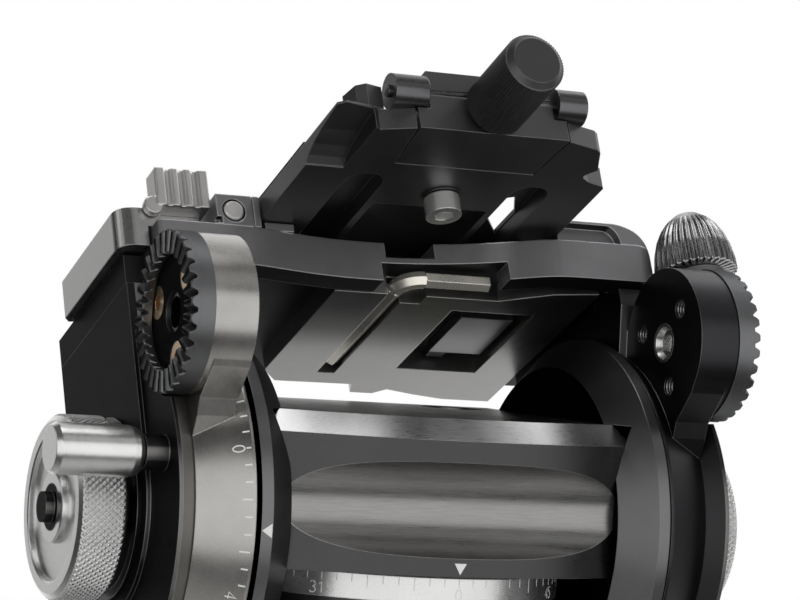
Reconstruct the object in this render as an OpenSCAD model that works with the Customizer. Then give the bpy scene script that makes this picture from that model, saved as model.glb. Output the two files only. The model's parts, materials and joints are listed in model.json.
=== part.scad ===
// Fluid video head with a tilting camera platform, shown with its front raised.
// Millimetres, +Z up, pan axis on Z, tilt axis along X, camera lens side towards -Y.

/* [Base] */
// Radius of the pan scale ring
ring_r = 46; // [40:0.5:54]
// Height of the pan scale ring's band
ring_h = 7; // [5:0.5:9]
// Height from the tripod face to the top of the scale ring
base_h = 66.5; // [64:0.5:74]
// Thread radius of the tripod socket, 3/8 inch
tripod_r = 4.76; // [3.17:0.01:4.76]
// Radius of the pan spindle
spindle_r = 9; // [7:0.5:11]

/* [Tilt axis] */
// Height of the tilt axis above the scale ring's top
axis_rise = 10.7; // [10.2:0.1:14]
// Angle by which the platform's front is raised
tilt_rest = 27; // [0:1:40]
// Radius of the tilt shaft
shaft_r = 9; // [7:0.5:9.4]

/* [Body] */
// Half width of the body between its side discs
body_half_w = 51.5; // [49:0.5:54]
// Front of the body ahead of the pan axis
body_front = 50; // [49:0.5:54]
// Back of the body behind the pan axis
body_rear = 42; // [38:0.5:48]
// Height of the body
body_h = 40; // [36:0.5:44]
// Size of the bevel along the body's top edge
body_bevel = 5.4; // [3:0.1:8]
// Radius of the front face's bulge, seen from above
bulge_r = 115; // [100:1:160]
// Radius of the long scoop in the front face
scoop_r = 12.3; // [10:0.1:14]
// Distance of the scoop's axis ahead of the front face
scoop_off = 1.8; // [0:0.1:3]

/* [Side discs and drums] */
// Outer radius of the side discs
disc_r = 51.3; // [51:0.1:54]
// Radius at the foot of a side disc's inner bevel
disc_foot_r = 43.2; // [40:0.1:46]
// Outer radius of the tilting drums
drum_r = 50.3; // [48:0.1:50.8]
// Width of a drum's straight rim
drum_rim = 0.8; // [0.5:0.1:2]
// Width of a drum's tapered band, which carries the scale
drum_band = 13; // [11:0.1:14]
// Fall of the tapered band
drum_fall = 6.2; // [5:0.1:8]
// Outer radius of the side covers
cover_r = 47.2; // [45:0.1:49]
// Half width of the side covers' upright
upright_half = 27; // [24:0.5:30]

/* [Handle lugs] */
// Lug centre ahead of the tilt axis, along the platform
lug_f = 52.5; // [52:0.1:54]
// Lug centre above the tilt axis, square to the platform
lug_n = 31.8; // [31:0.1:33]
// Radius of the handle lugs
lug_r = 20.2; // [19:0.1:20.6]
// Pitch circle radius of the rosette screws
lug_pcr = 12.1; // [11.5:0.1:12.6]
// Thread radius of the handle socket, M8
handle_r = 4; // [3:0.1:4]
// Number of rosette teeth
teeth = 30; // [24:1:36]

/* [Platform] */
// Half width of the platform deck
deck_half = 72.4; // [72:0.1:74]
// Underside of the platform above the tilt axis
deck_low = 55; // [54:0.1:56]
// Top of the platform above the tilt axis
deck_top = 66.2; // [65:0.1:66.6]
// Front edge of the platform at its wings
deck_front = 42.5; // [41.5:0.1:44]
// Front edge of the platform at its hollow
deck_mid = 32.6; // [31.8:0.1:34]
// Back edge of the platform behind the tilt axis
deck_back = 40; // [38:0.5:44]
// Width across flats of the stowed hex key
key_af = 4; // [3:0.5:4]

/* [Camera plate] */
// Half width of the camera plate
plate_half = 42.8; // [42:0.1:43]
// Underside of the camera plate above the tilt axis
plate_low = 68.8; // [68.6:0.1:70]
// Thickness of the camera plate
plate_t = 5.8; // [5.4:0.1:6.4]
// Front end of the camera plate's prongs
plate_front = 90; // [88:0.5:94]
// Back end of the camera plate
plate_back = 48; // [44:1:60]
// Camera screw position ahead of the tilt axis
screw_f = 56.5; // [55:0.5:58]
// Thread radius of the camera screw, 1/4 inch
camera_r = 3.17; // [3.1:0.01:3.17]

/* [Folding stop] */
// Hinge pin of the stop, ahead of the tilt axis
pin_f = 89.5; // [88:0.1:90]
// Hinge pin above the camera plate's underside
pin_rise = 10.5; // [10.4:0.1:12]
// Radius of the stop's knurled knob
knob_r = 8.1; // [7:0.1:8.4]
// Length of the stop's knurled knob
knob_l = 24.4; // [18:0.2:26]

/* [Controls] */
// Radius of the two side dials
dial_r = 24; // [20:0.5:25]
// Width of the side dials
dial_w = 13; // [10:0.5:16]
// Radius of the tilt lock knob
lock_r = 6.5; // [5:0.1:7]
// Tilt lock knob ahead of the tilt axis
lock_f = 37.6; // [37:0.1:38.5]
// Radius of the fluted plate clamp knob
clamp_r = 11.4; // [10:0.1:11.8]

/* [Clearances] */
// Radial clearance of a running fit
run = 0.05; // [0.02:0.01:0.1]
// Clearance between parts that move past each other
gap = 0.4; // [0.3:0.05:0.6]
// Clearance of fixed plugs and pins in their seats
seat = 0.02; // [0.01:0.01:0.05]

/* [Hidden] */
$fn = 96;
axis_z = base_h + axis_rise;
plate_h = 2.4;
wall_r = ring_r - 1.4;
insert_r = 8;
floor_z = 14;
hub_r = 26;
hub_low = floor_z + 2.2;
nut_z = base_h - 10;
body_low = base_h + 0.3;
body_top = body_low + body_h;
scoop_z = body_low + (body_h - body_bevel) / 2 - 0.4;
arc_y = bulge_r - body_front;
disc_foot = body_half_w - 5.1;
disc_out = body_half_w + 6.1;
disc_rim = disc_foot + disc_r - disc_foot_r;
drum_in = disc_out + 1;
drum_out = drum_in + drum_rim + drum_band;
drum_foot_r = drum_r - drum_fall;
bush_r = shaft_r + 3;
lug_in = drum_in + 3.9;
lug_out = lug_in + 11.4;
face_out = lug_out + 6.4;
web_in = lug_in - 2.3;
panel_end = web_in - 3.2;
window_end = panel_end - 13;
screw_head = 4.25;
tooth_h = 1.7;
tooth_w = 1.6;
tooth_r = lug_pcr + screw_head + 0.7;
cover_face = drum_out + 5.4;
upright_face = max(cover_face + 1.2, deck_half + 6.6);
cap_in = max(drum_out, deck_half);
upright_top = deck_low - 2.8;
base_top = deck_low + 5.3;
post_r = 6;
lock_x = cover_face + 6.4;
post_out = upright_face + 3.2 + dial_w + 2.6;
slab = deck_low + 5.5;
hollow_x = -12;
left_front = deck_front - 5.6;
hollow_k = 0.0039;
plate_top = plate_low + plate_t;
key_r = key_af / sqrt(3);
key_x = -0.6;
key_n = deck_low + 2.4;
key_f = 29.8;
pin_n = plate_low + pin_rise;
pin_r = 1.6;
barrel_r = pin_rise - plate_t - 0.05;
fork_f = 71.7;
fork_half = 20.6;
stop_half = fork_half - gap;
knob_f = pin_f + 3.3;
knob_rise = 6.8;
knob_n = plate_low + knob_rise;
stem_r = pin_rise - pin_r - knob_rise - 0.3;
rail_in = plate_half + gap;
jaw_out = rail_in + 8.8;
block_out = jaw_out + 3.4;
lever_x = -(cap_in + upright_face) / 2;
lever_f = -12;
stud_r = 2.8;
arm_in = deck_half + 0.8;
arm_out = upright_face + 2.4;
arm_low = base_top + 0.6;
arm_top = deck_top + 5.6;
grip_in = block_out + 0.8;
grip_out = grip_in + 14.8;
grip_f = 34.5;
button_x = -50.6;
button_n = deck_top + 4.4;
block_f = left_front - 0.6;
clamp_x = deck_half + clamp_r - 0.6;
clamp_f = 42.6;
ear_top = deck_low + 2.6;
clamp_top = deck_low + 22;
rail_round = 14;
rail_top = plate_top - 2.3;
rail_n = rail_top - rail_round;
level_x = body_half_w - 21.5;
cover_half = body_half_w - 5.5;
cover_screw_x = cover_half - 4;
lock_z = floor_z + 4.4;
lock_knob_r = 6.6;

// Frame of the tilting platform: X across, front along -Y, platform normal along +Z
module tilt() {
  translate([0, 0, axis_z])
    rotate([-tilt_rest, 0, 0])
      children();
}

// Local +Z runs outwards along X, to the right for s = 1 and to the left for s = -1
module out(s) {
  rotate([0, s * 90, 0])
    children();
}

// Place at (f, n) in a side view drawn with out()
module spot(s, f, n) {
  translate([-s * n, -f, 0])
    children();
}

// Box from corner to corner
module span(x, y, z) {
  translate([x[0], y[0], z[0]])
    cube([x[1] - x[0], y[1] - y[0], z[1] - z[0]]);
}

// Ring or plain disc between two heights
module ring(z0, z1, ro, ri = 0) {
  translate([0, 0, z0])
    difference() {
      cylinder(r = ro, h = z1 - z0);
      if (ri > 0)
        translate([0, 0, -1])
          cylinder(r = ri, h = z1 - z0 + 2);
    }
}

// Outline of a knob with shallow flutes
module fluted(r, count, depth) {
  polygon([for (i = [0 : count * 8 - 1])
    let (a = i * 45 / count, d = depth * (0.5 - 0.5 * cos(i * 45)))
      [(r - d) * cos(a), (r - d) * sin(a)]]);
}

// Base, fixed to the tripod

module base_plate() {
  color([0.10, 0.10, 0.11])
    difference() {
      cylinder(r = wall_r - 0.4, h = plate_h);
      translate([0, 0, -1])
        cylinder(r = insert_r + seat, h = plate_h + 2);
      for (a = [30, 150, 270])
        rotate([0, 0, a])
          translate([26, 0, -0.01]) {
            cylinder(r = 2.2, h = plate_h + 1);
            cylinder(r1 = 4.02, r2 = 2.2, h = 1.9);
          }
    }
}

module base_housing() {
  color([0.10, 0.10, 0.11])
    difference() {
      union() {
        ring(plate_h, 9, ring_r - 8);
        ring(9, base_h - ring_h, wall_r);
      }
      translate([0, 0, plate_h - 1])
        cylinder(r = insert_r + seat, h = floor_z);
      translate([0, 0, floor_z - 3])
        cylinder(r = 14 + seat, h = base_h);
      translate([0, 0, floor_z])
        cylinder(r = wall_r - 8.6, h = base_h);
      for (a = [30, 150, 270])
        rotate([0, 0, a])
          translate([26, 0, plate_h - 1])
            cylinder(r = 2 + seat, h = 9);
      translate([0, 0, lock_z])
        rotate([-90, 0, 0])
          cylinder(r = 2.5 + run, h = 60);
    }
}

module tripod_insert() {
  color([0.62, 0.62, 0.62])
    difference() {
      cylinder(r = insert_r, h = floor_z - 3);
      translate([0, 0, -1])
        cylinder(r = tripod_r, h = floor_z - 4);
    }
}

module base_screws() {
  color([0.55, 0.55, 0.55])
    for (a = [30, 150, 270])
      rotate([0, 0, a])
        translate([26, 0, 0.1])
          difference() {
            union() {
              cylinder(r = 2, h = 9);
              cylinder(r1 = 3.9, r2 = 2, h = 1.8);
            }
            translate([0, 0, -1])
              cylinder(r = 1.5, h = 2.2, $fn = 6);
          }
}

module pan_spindle() {
  color([0.60, 0.60, 0.60]) {
    ring(floor_z - 3, floor_z, 14);
    ring(floor_z, nut_z, spindle_r);
    ring(nut_z, nut_z + 5.6, spindle_r - 2);
  }
}

module spindle_nut() {
  color([0.55, 0.55, 0.55])
    difference() {
      translate([0, 0, nut_z])
        cylinder(r = spindle_r + 3, h = 5, $fn = 6);
      translate([0, 0, nut_z - 1])
        cylinder(r = spindle_r - 2 + seat, h = 7);
    }
}

module pan_thrust_washer() {
  color([0.72, 0.56, 0.30])
    ring(floor_z, floor_z + 1.8, 22, 14.4);
}

module pan_drag_stator() {
  color([0.45, 0.45, 0.46])
    ring(lock_z + 5, nut_z - 0.5, wall_r - 8.6 - seat, hub_r + 2.6);
}

module pan_scale_ring() {
  color([0.30, 0.30, 0.31])
    difference() {
      union() {
        ring(base_h - ring_h, base_h - 0.5, ring_r);
        translate([0, 0, base_h - 0.5])
          cylinder(r1 = ring_r, r2 = ring_r - 0.5, h = 0.5);
      }
      translate([0, 0, base_h - ring_h - 1])
        cylinder(r = wall_r - 8.6, h = ring_h + 2);
    }
}

module pan_drag_ring() {
  color([0.12, 0.12, 0.13])
    difference() {
      translate([0, 0, plate_h + gap])
        linear_extrude(9 - plate_h - 2 * gap)
          fluted(wall_r + 0.4, 60, 0.5);
      translate([0, 0, 0])
        cylinder(r = ring_r - 8 + run, h = 20);
    }
}

// Body, turning on the base

module body_blank() {
  intersection() {
    span([-body_half_w, body_half_w], [-body_front - 1, body_rear], [body_low, body_top]);
    translate([0, arc_y, body_low - 1])
      cylinder(r = bulge_r, h = body_h + 2, $fn = 240);
  }
}

module body_housing() {
  color([0.13, 0.13, 0.14])
    difference() {
      body_blank();
      translate([0, arc_y, 0])
        rotate_extrude($fn = 240)
          polygon([[bulge_r - body_bevel, body_top], [bulge_r, body_top - body_bevel],
            [bulge_r + 6, body_top - body_bevel], [bulge_r + 6, body_top + 1],
            [bulge_r - body_bevel, body_top + 1]]);
      for (s = [-1, 1])
        translate([s * body_half_w, 0, body_top])
          rotate([0, 45, 0])
            cube([body_bevel, 140, body_bevel], center = true);
      translate([-body_half_w - 1, -body_front - scoop_off, scoop_z])
        rotate([0, 90, 0])
          cylinder(r = scoop_r, h = 2 * body_half_w + 2);
      translate([-body_half_w - 1, 0, axis_z])
        rotate([0, 90, 0])
          cylinder(r = shaft_r + seat, h = 2 * body_half_w + 2);
      span([8 - cover_half, cover_half - 8], [17, body_rear + 1], [body_low + 5, body_top - 6]);
      translate([level_x, 28, body_top - 4.6])
        cylinder(r = 9 + seat, h = 8);
      for (x = [-cover_screw_x, cover_screw_x], z = [body_low + 8, body_top - 8])
        translate([x, body_rear + 1, z])
          rotate([90, 0, 0])
            cylinder(r = 1.5 + seat, h = 9);
    }
}

module pan_hub() {
  color([0.42, 0.42, 0.43])
    difference() {
      ring(hub_low, body_low, hub_r);
      translate([0, 0, hub_low - 1])
        cylinder(r = spindle_r + 3 + seat, h = base_h);
      translate([0, 0, nut_z - 1.4])
        cylinder(r = spindle_r + 7, h = base_h);
    }
}

module pan_bush() {
  color([0.72, 0.56, 0.30])
    ring(hub_low, nut_z - 1.4, spindle_r + 3, spindle_r + run);
}

module pan_drag_rotor() {
  color([0.50, 0.50, 0.51])
    ring(lock_z + 6, nut_z - 2, hub_r + 2.2, hub_r + seat);
}

module side_disc(s) {
  difference() {
    out(s)
      difference() {
        union() {
          translate([0, 0, disc_foot])
            cylinder(r1 = disc_foot_r, r2 = disc_r, h = disc_rim - disc_foot);
          translate([0, 0, disc_rim])
            cylinder(r = disc_r, h = disc_out - disc_rim);
        }
        translate([0, 0, disc_foot - 1])
          cylinder(r = shaft_r + seat, h = 30);
        ring(disc_out - 5, disc_out + 1, 36, 28);
      }
    translate([0, 0, -axis_z]) {
      body_blank();
      if (disc_foot < ring_r + gap)
        cylinder(r = ring_r + gap, h = body_low);
    }
  }
}

module left_side_disc() {
  color([0.13, 0.13, 0.14])
    translate([0, 0, axis_z])
      side_disc(-1);
}

module right_side_disc() {
  color([0.13, 0.13, 0.14])
    translate([0, 0, axis_z])
      side_disc(1);
}

module tilt_shaft() {
  color([0.62, 0.62, 0.62])
    translate([-drum_out + 0.6, 0, axis_z])
      rotate([0, 90, 0])
        cylinder(r = shaft_r, h = 2 * drum_out - 1.2);
}

module rear_cover() {
  color([0.11, 0.11, 0.12])
    difference() {
      span([-cover_half, cover_half], [body_rear, body_rear + 2], [body_low + 4.6, body_top - 4]);
      for (x = [-cover_screw_x, cover_screw_x], z = [body_low + 8, body_top - 8])
        translate([x, body_rear + 3, z])
          rotate([90, 0, 0]) {
            cylinder(r = 1.6, h = 9);
            cylinder(r = 2.9, h = 1.9);
          }
    }
}

module rear_cover_screws() {
  color([0.30, 0.30, 0.31])
    for (x = [-cover_screw_x, cover_screw_x], z = [body_low + 8, body_top - 8])
      translate([x, body_rear + 2.6, z])
        rotate([90, 0, 0])
          difference() {
            union() {
              cylinder(r = 1.5, h = 8);
              cylinder(r = 2.7, h = 1.5);
            }
            translate([0, 0, -1])
              cylinder(r = 1.2, h = 2, $fn = 6);
          }
}

module level_cup() {
  color([0.55, 0.55, 0.56])
    translate([level_x, 28, body_top - 4.6])
      difference() {
        cylinder(r = 9, h = 4.4);
        translate([0, 0, 1])
          cylinder(r = 7.4 + seat, h = 6);
      }
}

module level_vial() {
  color([0.75, 0.85, 0.25, 0.6])
    translate([level_x, 28, body_top - 3.6])
      cylinder(r = 7.4, h = 3.1);
}

module pan_lock_knob() {
  color([0.12, 0.12, 0.13])
    translate([0, 0, lock_z])
      rotate([-90, 0, 0])
        union() {
          ring(hub_r + 0.6, ring_r + 3, 2.5);
          translate([0, 0, ring_r + 0.4])
            linear_extrude(14)
              fluted(lock_knob_r, 14, 0.7);
        }
}

// Tilting platform

module arm_web(s) {
  side_points = [[24, slab], [24, deck_low - 0.3], [38.4, deck_low - 0.3], [38.2, 49.8],
    [33.4, 39.1], [20, 10], [-20, 10], [-27, 38], [-27, slab]];
  translate([0, 0, web_in])
    linear_extrude(drum_out - web_in - 2)
      polygon([for (p = side_points) [-s * p[1], -p[0]]]);
}

module lug_neck(s) {
  side_points = [[28, 39], [lug_f - 13, lug_n + 14], [lug_f, lug_n], [lug_f + 14.4, lug_n - 13.8],
    [lug_f + 9, lug_n - 18.6], [lug_f + 4, lug_n - 20.6], [lug_f - 1, lug_n - 22.6],
    [lug_f - 4, lug_n - 26], [44, 2], [20, 8]];
  translate([0, 0, lug_in])
    linear_extrude(drum_out - lug_in)
      polygon([for (p = side_points) [-s * p[1], -p[0]]]);
}

// Three screw places round a lug's centre
module screw_spots(s) {
  for (a = [0, 120, 240])
    rotate([0, 0, a + 30 - 24 * s])
      translate([lug_pcr, 0, 0])
        children();
}

module tilt_arm(s) {
  tilt()
    out(s)
      difference() {
        union() {
          translate([0, 0, drum_in])
            cylinder(r = drum_r, h = drum_rim);
          translate([0, 0, drum_in + drum_rim])
            cylinder(r1 = drum_r, r2 = drum_foot_r, h = drum_band);
          spot(s, lug_f, lug_n)
            ring(lug_in, lug_out, lug_r);
          lug_neck(s);
          arm_web(s);
        }
        translate([0, 0, drum_in - 1])
          cylinder(r = bush_r + seat, h = 30);
        ring(drum_in + 5, drum_out + 1, 38, 18);
        spot(s, lug_f, lug_n) {
          translate([0, 0, drum_in - 1])
            cylinder(r = 5.25 + seat, h = 30);
          screw_spots(s)
            translate([0, 0, drum_in - 1])
              cylinder(r = 2.5 + seat, h = 30);
        }
      }
}

module left_tilt_arm() {
  color([0.45, 0.45, 0.46])
    tilt_arm(-1);
}

module right_tilt_arm() {
  color([0.16, 0.16, 0.17])
    tilt_arm(1);
}

module tilt_bushes() {
  color([0.72, 0.56, 0.30])
    tilt()
      for (s = [-1, 1])
        out(s)
          ring(drum_in, drum_out, bush_r, shaft_r + run);
}

module tilt_drag_rotor() {
  color([0.50, 0.50, 0.51])
    tilt()
      out(-1)
        ring(disc_out - 4, drum_in, 34, 30);
}

module balance_spring() {
  color([0.50, 0.50, 0.52])
    tilt()
      out(1) {
        for (i = [0, 1, 2])
          translate([0, 0, disc_out - 3.2 + i * 1.5])
            rotate_extrude()
              translate([32, 0])
                circle(r = 0.7, $fn = 16);
        translate([32, 0, disc_out - 3.2])
          cylinder(r = 0.8, h = drum_in - disc_out + 3.2, $fn = 16);
      }
}

module side_cover(s) {
  tilt()
    out(s)
      difference() {
        union() {
          translate([0, 0, drum_out])
            cylinder(r1 = drum_foot_r - 0.4, r2 = cover_r, h = cover_face - drum_out - 1);
          translate([0, 0, cover_face - 1])
            cylinder(r = cover_r, h = 1);
          translate([0, 0, drum_out])
            cylinder(r = upright_half, h = upright_face - drum_out);
          translate([s > 0 ? -upright_top : 0, -upright_half, drum_out])
            cube([upright_top, 2 * upright_half, upright_face - drum_out]);
          if (s < 0)
            spot(s, lock_f, 0)
              ring(cover_face - 1, lock_x - gap, 4.4);
          ring(upright_face - 1, post_out - 2.4, post_r);
          ring(post_out - 2.6, post_out, post_r - 2);
        }
        translate([0, 0, drum_out - 1])
          cylinder(r = shaft_r + 1, h = 2.4);
        spot(s, lug_f, lug_n)
          ring(drum_in, face_out + 2, lug_r + 0.9);
        if (s < 0)
          spot(s, lock_f, 0)
            translate([0, 0, drum_out - 1])
              cylinder(r = 2.6 + run, h = 30);
      }
}

module left_side_cover() {
  color([0.12, 0.12, 0.13])
    side_cover(-1);
}

module right_side_cover() {
  color([0.12, 0.12, 0.13])
    side_cover(1);
}

module dial_rims() {
  color([0.75, 0.75, 0.75])
    tilt()
      for (s = [-1, 1])
        out(s)
          ring(upright_face, upright_face + 1.2, dial_r - 0.4, dial_r - 3);
}

// Rosette with radial teeth round a sunk middle
module rosette(s) {
  tilt()
    out(s)
      spot(s, lug_f, lug_n)
        difference() {
          union() {
            ring(lug_out, face_out - tooth_h, lug_r + 0.3);
            for (i = [0 : teeth - 1])
              rotate([0, 0, i * 360 / teeth])
                span([tooth_r, lug_r], [-tooth_w / 2, tooth_w / 2], [face_out - tooth_h - 0.2, face_out]);
          }
          translate([0, 0, face_out - tooth_h - 1.2])
            cylinder(r = tooth_r - 0.3, h = 9);
          translate([0, 0, lug_out - 1])
            cylinder(r = 5.25 + seat, h = 20);
          screw_spots(s)
            translate([0, 0, lug_out - 1]) {
              cylinder(r = 2.7, h = 20);
              translate([0, 0, 2.2])
                cylinder(r = screw_head + 0.15, h = 20);
            }
        }
}

module left_rosette() {
  color([0.10, 0.10, 0.11])
    rosette(-1);
}

module right_rosette() {
  color([0.10, 0.10, 0.11])
    rosette(1);
}

module rosette_screws() {
  color([0.66, 0.48, 0.34])
    tilt()
      for (s = [-1, 1])
        out(s)
          spot(s, lug_f, lug_n)
            screw_spots(s)
              translate([0, 0, lug_out - 6])
                difference() {
                  union() {
                    cylinder(r = 2.5, h = 8, $fn = 48);
                    translate([0, 0, 7.2])
                      cylinder(r = screw_head, h = 2.2, $fn = 48);
                  }
                  translate([0, 0, 7.8])
                    cylinder(r = 2, h = 3, $fn = 6);
                }
}

module rosette_inserts() {
  color([0.66, 0.66, 0.66])
    tilt()
      for (s = [-1, 1])
        out(s)
          spot(s, lug_f, lug_n)
            difference() {
              ring(lug_in, face_out - 3.6, 5.25);
              translate([0, 0, lug_in + 3])
                cylinder(r = handle_r, h = 30);
              translate([0, 0, lug_in - 0.01])
                cylinder(r1 = 4.4, r2 = 3.7, h = 1.8);
              translate([0, 0, lug_in + 1])
                cylinder(r = 2.4, h = 3, $fn = 6);
            }
}

// Front edge of the platform: a shallow hollow that runs smoothly into the straight wings
function front_f(x) =
  let (f = deck_mid + hollow_k * (x - hollow_x) * (x - hollow_x))
    let (edge = x < hollow_x ? left_front : deck_front)
      edge - ln(1 + exp(edge - f));
deck_corner = 7;
left_round = 1.6;
front_xs = [for (i = [0 : 60]) (deck_half - deck_corner) * (i / 30 - 1)];

// Rounded corner of the platform in the quarter that starts at angle a
function corner(x, y, a, r = deck_corner) = [for (i = [0 : 12])
  [x + r * cos(a + i * 7.5), y + r * sin(a + i * 7.5)]];

function left_corner() = corner(left_round - deck_half, left_round - left_front, 180, left_round);

function front_edge() = concat(
  [for (x = front_xs) [x, -front_f(x)]],
  corner(deck_half - deck_corner, -deck_front + deck_corner, -90));

module deck_outline() {
  w = deck_half - deck_corner;
  polygon(concat(
    front_edge(),
    corner(w, deck_back - deck_corner, 0),
    corner(-w, deck_back - deck_corner, 90),
    left_corner()));
}

module front_rim() {
  polygon(concat(
    front_edge(),
    [[deck_half, -34]],
    [for (i = [60 : -1 : 0]) [front_xs[i], deck_corner - front_f(front_xs[i])]],
    [[-deck_half, deck_corner - left_front]],
    left_corner()));
}

// Rounds along the platform's lower and upper right edges
module end_round() {
  r = rail_round / 2;
  length = deck_front + deck_back + 4;
  difference() {
    span([deck_half - r, deck_half + 1], [-deck_front - 1, deck_back + 1], [deck_low - 1, deck_low + r]);
    translate([deck_half - r, deck_back + 2, deck_low + r])
      rotate([90, 0, 0])
        cylinder(r = r, h = length);
  }
  difference() {
    span([deck_half - rail_round, deck_half + 1], [-deck_front - 1, deck_back + 1],
      [rail_n + r / 2, deck_top + 1]);
    translate([deck_half - rail_round, deck_back + 2, rail_n])
      rotate([90, 0, 0])
        cylinder(r = rail_round, h = length);
  }
}

module platform_deck() {
  color([0.17, 0.17, 0.18])
    tilt()
      difference() {
        union() {
          difference() {
            union() {
              translate([0, 0, slab])
                linear_extrude(deck_top - slab)
                  deck_outline();
              translate([0, 0, deck_low])
                linear_extrude(slab - deck_low + 0.1)
                  front_rim();
            }
            end_round();
          }
          for (s = [-1, 1])
            translate([s * (plate_half - 5.3), 0, (deck_top + plate_low - gap) / 2])
              cube([8, 70, plate_low - gap - deck_top + 0.02], center = true);
          span([-deck_half, -deck_half + 1.6], [-22.4, -6], [deck_top - 0.1, deck_top + 3.4]);
          translate([clamp_x, -clamp_f, deck_low])
            cylinder(r = clamp_r - 3.4, h = ear_top - deck_low);
          span([deck_half - 12, clamp_x], [-clamp_f + 1, -clamp_f + 7.5], [deck_low, ear_top]);
        }
        span([-6.5, 7.5], [-deck_front - 9, -24.6], [slab + 1.4, deck_top + 1]);
        span([-8, 27], [-deck_front - 9, -23], [deck_low - 1, slab - 0.3]);
        for (s = [-1, 1], y = [-22, 20])
          translate([s * (deck_half - 7.8), y, slab - 1]) {
            cylinder(r = 2.2, h = 9);
            translate([0, 0, deck_top - slab - 2])
              cylinder(r = 4.1, h = 9);
          }
        translate([clamp_x, -clamp_f, deck_low - 1])
          cylinder(r = 3 + run, h = 20);
      }
}

module key_groove() {
  w = key_af / 2 + 0.7;
  span([key_x - w, key_x + w], [-26, 26.6], [deck_low - 1, key_n + key_r + gap]);
  span([key_x - w, key_x + w + 6], [-26, -20], [deck_low - 1, key_n + key_r + gap]);
}

module key_panel() {
  color([0.20, 0.20, 0.21])
    tilt()
      difference() {
        translate([0, 0, deck_low])
          linear_extrude(slab - deck_low)
            polygon([[-19, -24.8], [30, -24.8], [window_end, -31], [panel_end, -33], [panel_end, 40],
              [window_end - 2, 40],
              [32, 38], [22.3, 35.4], [19, 38.6], [12, 38.6], [10.3, 33.2], [-13.5, 33.4], [-19, 27]]);
        key_groove();
        span([19, window_end], [-17.5, 21], [deck_low - 1, slab + 1]);
      }
}

module guide_plate() {
  color([0.36, 0.36, 0.37])
    tilt() {
      span([26.5, window_end - 1.5], [-8.5, 14], [slab - 3, slab]);
      span([28, 33], [14, 19], [slab - 2, slab]);
    }
}

module deck_screws() {
  color([0.30, 0.30, 0.31])
    tilt()
      for (s = [-1, 1], y = [-22, 20])
        translate([s * (deck_half - 7.8), y, slab])
          difference() {
            union() {
              cylinder(r = 2, h = deck_top - slab - 1, $fn = 48);
              translate([0, 0, deck_top - slab - 3])
                cylinder(r = 3.9, h = 2.6, $fn = 48);
            }
            translate([0, 0, deck_top - slab - 1.6])
              cylinder(r = 1.7, h = 3, $fn = 6);
          }
}

module left_jaw_block() {
  color([0.15, 0.15, 0.16])
    tilt()
      difference() {
        span([-block_out, -rail_in], [-block_f, 22], [deck_top, plate_top + 0.6]);
        span([-jaw_out, -rail_in + 1], [-30, 17], [deck_top - 1, plate_top + 2]);
        span([-jaw_out, -rail_in + 1], [-30.2, -29], [deck_top - 1, plate_top + 2]);
        translate([button_x, -block_f - 1, button_n])
          rotate([-90, 0, 0])
            cylinder(r = 3.3, h = 12);
        span([-block_out - 1, -block_out + 1.4], [-block_f - 1, -block_f + 2],
          [deck_top + 0.6, deck_top + 2.4]);
        span([-45.4, -45], [-block_f - 1, -block_f + 0.6], [deck_top - 1, plate_top + 2]);
      }
}

// Outline of the shallow cut in the right rail's front, open below
module rail_pocket() {
  h = rail_top - deck_top - 0.8;
  x = deck_half - 15.6;
  polygon(concat([[rail_in - 1, -1], [x + 4, -1]],
    [for (a = [0 : 10 : 90]) [x + 4 * cos(a), h * sin(a)]],
    [[rail_in - 1, h]]));
}

module right_rail() {
  color([0.16, 0.16, 0.17])
    tilt()
      difference() {
        intersection() {
          translate([0, 0, deck_top])
            linear_extrude(rail_top - deck_top)
              deck_outline();
          union() {
            span([rail_in, deck_half - rail_round], [-60, 22], [deck_top - 1, rail_top + 1]);
            translate([deck_half - rail_round, 22, rail_n])
              rotate([90, 0, 0])
                cylinder(r = rail_round, h = 90);
          }
        }
        translate([0, 3 - deck_front, deck_top])
          rotate([90, 0, 0])
            linear_extrude(20)
              rail_pocket();
        for (y = [-22, 20])
          translate([deck_half - 7.8, y, deck_top - 1])
            cylinder(r = 4.4, h = 20);
      }
}

module clamp_jaw() {
  color([0.34, 0.34, 0.35])
    tilt()
      difference() {
        span([-jaw_out + 2.2, -rail_in], [-29 + gap, 17 - gap], [deck_top + gap, plate_top]);
        translate([-rail_in, 0, plate_top - 1])
          rotate([0, 45, 0])
            cube([1.6, 100, 1.6], center = true);
      }
}

module release_button() {
  color([0.78, 0.78, 0.78])
    tilt()
      translate([button_x, -block_f - 0.4, button_n])
        rotate([-90, 0, 0])
          union() {
            cylinder(r1 = 2.4, r2 = 2.8, h = 0.4);
            translate([0, 0, 0.4])
              cylinder(r = 2.8, h = 3.6);
          }
}

module lever_base() {
  color([0.13, 0.13, 0.14])
    tilt()
      difference() {
        span([-upright_face, -cap_in], [-upright_half + 0.4, upright_half], [upright_top, base_top]);
        translate([lever_x, -lever_f, base_top - 7])
          cylinder(r = stud_r + run, h = 9);
      }
}

module right_end_cap() {
  color([0.13, 0.13, 0.14])
    tilt()
      span([cap_in, upright_face], [-upright_half + 0.4, upright_half], [upright_top, base_top]);
}

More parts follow.
